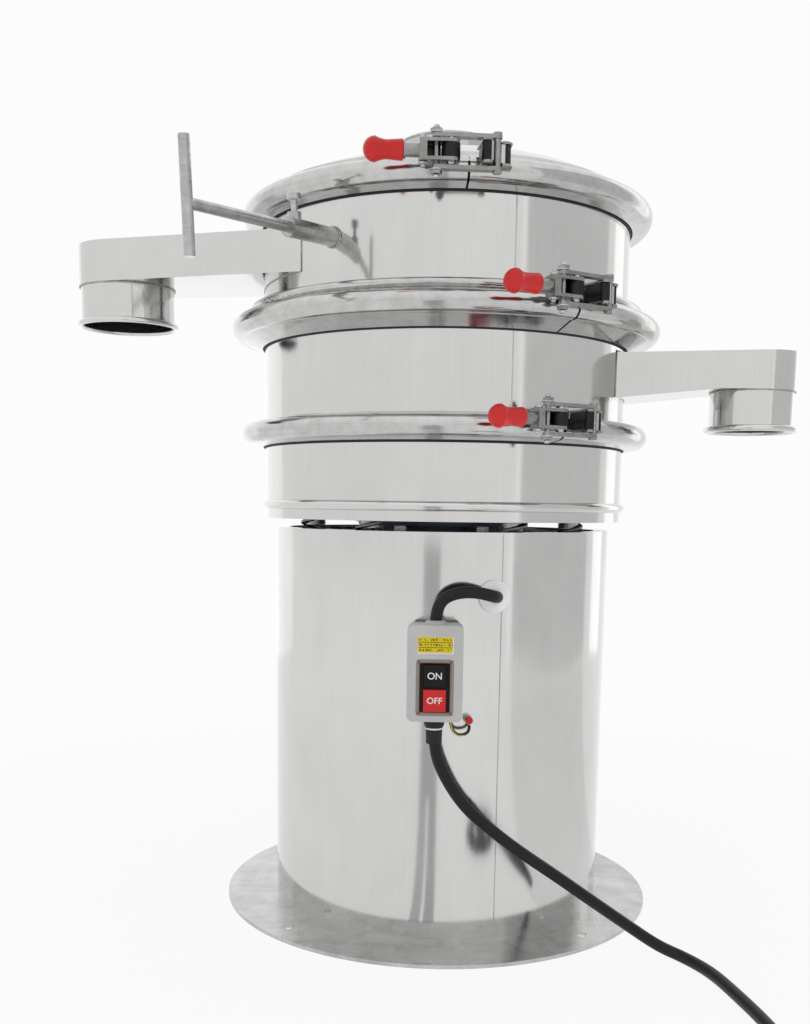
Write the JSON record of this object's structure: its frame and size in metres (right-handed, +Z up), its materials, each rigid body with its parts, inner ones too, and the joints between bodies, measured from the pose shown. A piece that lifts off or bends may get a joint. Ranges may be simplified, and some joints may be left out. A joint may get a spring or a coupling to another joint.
{
  "type": "vibrating sieve",
  "caption": "Round vibrating sieve on a sprung pedestal drum: clamped sieve frames, domed lid with inlet, side outlets, toggle clamps, hung motor and switch box.",
  "frame": {"origin": "centre of the base plate's underside, which is the centre of its anchor hole circle, on the floor", "axes": "+Z up along the machine's axis, -Y towards the front with the switch box, +X to the fines outlet's side"},
  "size_m": [0.7858, 0.825, 0.8416],
  "materials": {
    "polished_sheet": "mirror-polished stainless steel sheet",
    "base_sheet": "polished stainless steel plate, darker with reflections",
    "inner_steel": "satin stainless steel",
    "spring_steel": "dark drawn spring wire",
    "woven_wire": "woven stainless wire cloth",
    "motor_paint": "satin machine paint",
    "bolt_steel": "bright turned steel",
    "weight_iron": "machined grey iron",
    "black_rubber": "soft black rubber",
    "clamp_steel": "cast and pressed stainless steel",
    "red_grip": "glossy dipped red vinyl",
    "rod_steel": "polished stainless bar",
    "box_plastic": "light grey moulded plastic",
    "bezel_plastic": "dark brown-grey moulded plastic",
    "on_plastic": "black moulded plastic",
    "off_plastic": "red moulded plastic",
    "gland_plastic": "black nylon",
    "grommet_plastic": "light grey moulded bush",
    "cable_sheath": "black rubber cable sheath",
    "plug_plastic": "black moulded plug",
    "earth_brass": "plated brass",
    "earth_sheath": "yellow and green wire sheath"
  },
  "bodies": {
    "base": {"base_plate": "base_sheet", "base_drum": "polished_sheet", "spring_brackets": "inner_steel", "support_springs": "spring_steel", "box_back": "box_plastic", "box_cover": "box_plastic", "box_bezel": "bezel_plastic", "lead_gland": "box_plastic", "cord_gland": "gland_plastic", "lead_grommet": "grommet_plastic", "motor_lead": "cable_sheath", "supply_cord": "cable_sheath", "cord_coil": "cable_sheath", "mains_plug": "plug_plastic", "earth_stud": "earth_brass", "earth_wire": "earth_sheath"},
    "sieve": {"lower_frame": "polished_sheet", "motor_plate": "inner_steel", "spring_caps": "inner_steel", "motor_housing": "motor_paint", "motor_bolts": "bolt_steel", "motor_terminal_box": "motor_paint", "discharge_pan": "inner_steel", "lower_gasket": "black_rubber", "screen_gasket": "black_rubber", "lid_gasket": "black_rubber", "middle_frame": "polished_sheet", "fines_spout": "polished_sheet", "screen_frame": "inner_steel", "screen_mesh": "woven_wire", "top_frame": "polished_sheet", "oversize_spout": "polished_sheet", "rod_sleeve": "rod_steel", "lid": "polished_sheet", "inlet_collar": "polished_sheet", "lower_band": "polished_sheet", "screen_band": "polished_sheet", "lid_band": "polished_sheet", "lower_pivot_pin": "bolt_steel", "screen_pivot_pin": "bolt_steel", "lid_pivot_pin": "bolt_steel"},
    "rotor": {"motor_shaft": "bolt_steel", "upper_weight": "weight_iron", "lower_weight": "weight_iron"},
    "phase": {"phase_weight": "weight_iron"},
    "baffle": {"baffle_rod": "rod_steel", "baffle_blade": "rod_steel"},
    "screw": {"set_screw": "bolt_steel"},
    "on_key": {"on_button": "on_plastic"},
    "off_key": {"off_button": "off_plastic"},
    "lower_handle": {"lower_lever": "clamp_steel", "lower_grip": "red_grip"},
    "lower_draw": {"lower_links": "clamp_steel"},
    "screen_handle": {"screen_lever": "clamp_steel", "screen_grip": "red_grip"},
    "screen_draw": {"screen_links": "clamp_steel"},
    "lid_handle": {"lid_lever": "clamp_steel", "lid_grip": "red_grip"},
    "lid_draw": {"lid_links": "clamp_steel"}
  },
  "joints": [
    {"name": "sieve_bounce", "type": "slide", "parent": "base", "child": "sieve", "axis": [0, 0, 1], "range_m": [-0.004, 0.004], "stiffness_N_per_m": 60000, "springref_m": 0.00928, "deforming": ["support_springs"]},
    {"name": "rotor_spin", "type": "hinge", "parent": "sieve", "child": "rotor", "pos_m": [0, 0, 0.4], "axis": [0, 0, 1], "continuous": true},
    {"name": "phase_angle", "type": "hinge", "parent": "rotor", "child": "phase", "pos_m": [0, 0, 0.2], "axis": [0, 0, 1], "range_deg": [0, 90]},
    {"name": "lower_clamp", "type": "hinge", "parent": "sieve", "child": "lower_handle", "pos_m": [0.1093, -0.21442, 0.5335], "axis": [0, 0, 1], "range_deg": [0, 130]},
    {"name": "lower_link_turn", "type": "hinge", "parent": "lower_handle", "child": "lower_draw", "pos_m": [0.0973, -0.22008, 0.5335], "axis": [0, 0, 1], "range_deg": [-130, 0]},
    {"name": "screen_clamp", "type": "hinge", "parent": "sieve", "child": "screen_handle", "pos_m": [0.11914, -0.22052, 0.6505], "axis": [0, 0, 1], "range_deg": [0, 130]},
    {"name": "screen_link_turn", "type": "hinge", "parent": "screen_handle", "child": "screen_draw", "pos_m": [0.10726, -0.22643, 0.6505], "axis": [0, 0, 1], "range_deg": [-130, 0]},
    {"name": "lid_clamp", "type": "hinge", "parent": "sieve", "child": "lid_handle", "pos_m": [0.00272, -0.23767, 0.765], "axis": [0, 0, 1], "range_deg": [0, 130]},
    {"name": "lid_link_turn", "type": "hinge", "parent": "lid_handle", "child": "lid_draw", "pos_m": [-0.01055, -0.23742, 0.765], "axis": [0, 0, 1], "range_deg": [-130, 0]},
    {"name": "baffle_slide", "type": "slide", "parent": "sieve", "child": "baffle", "axis": [-0.5483, -0.8347, -0.0523], "range_m": [-0.095, 0.03]},
    {"name": "screw_turn", "type": "hinge", "parent": "sieve", "child": "screw", "pos_m": [-0.14051, -0.2139, 0.70407], "axis": [-0.0287, -0.0437, 0.9986], "continuous": true},
    {"name": "on_press", "type": "slide", "parent": "base", "child": "on_key", "axis": [0, 1, 0], "range_m": [0, 0.0025], "stiffness_N_per_m": 700, "springref_m": -0.001},
    {"name": "off_press", "type": "slide", "parent": "base", "child": "off_key", "axis": [0, 1, 0], "range_m": [0, 0.0025], "stiffness_N_per_m": 700, "springref_m": -0.001}
  ],
  "couplings": [
    {"joint": "lower_link_turn", "follows": "lower_clamp", "ratio": -1},
    {"joint": "screen_link_turn", "follows": "screen_clamp", "ratio": -1},
    {"joint": "lid_link_turn", "follows": "lid_clamp", "ratio": -1}
  ]
}
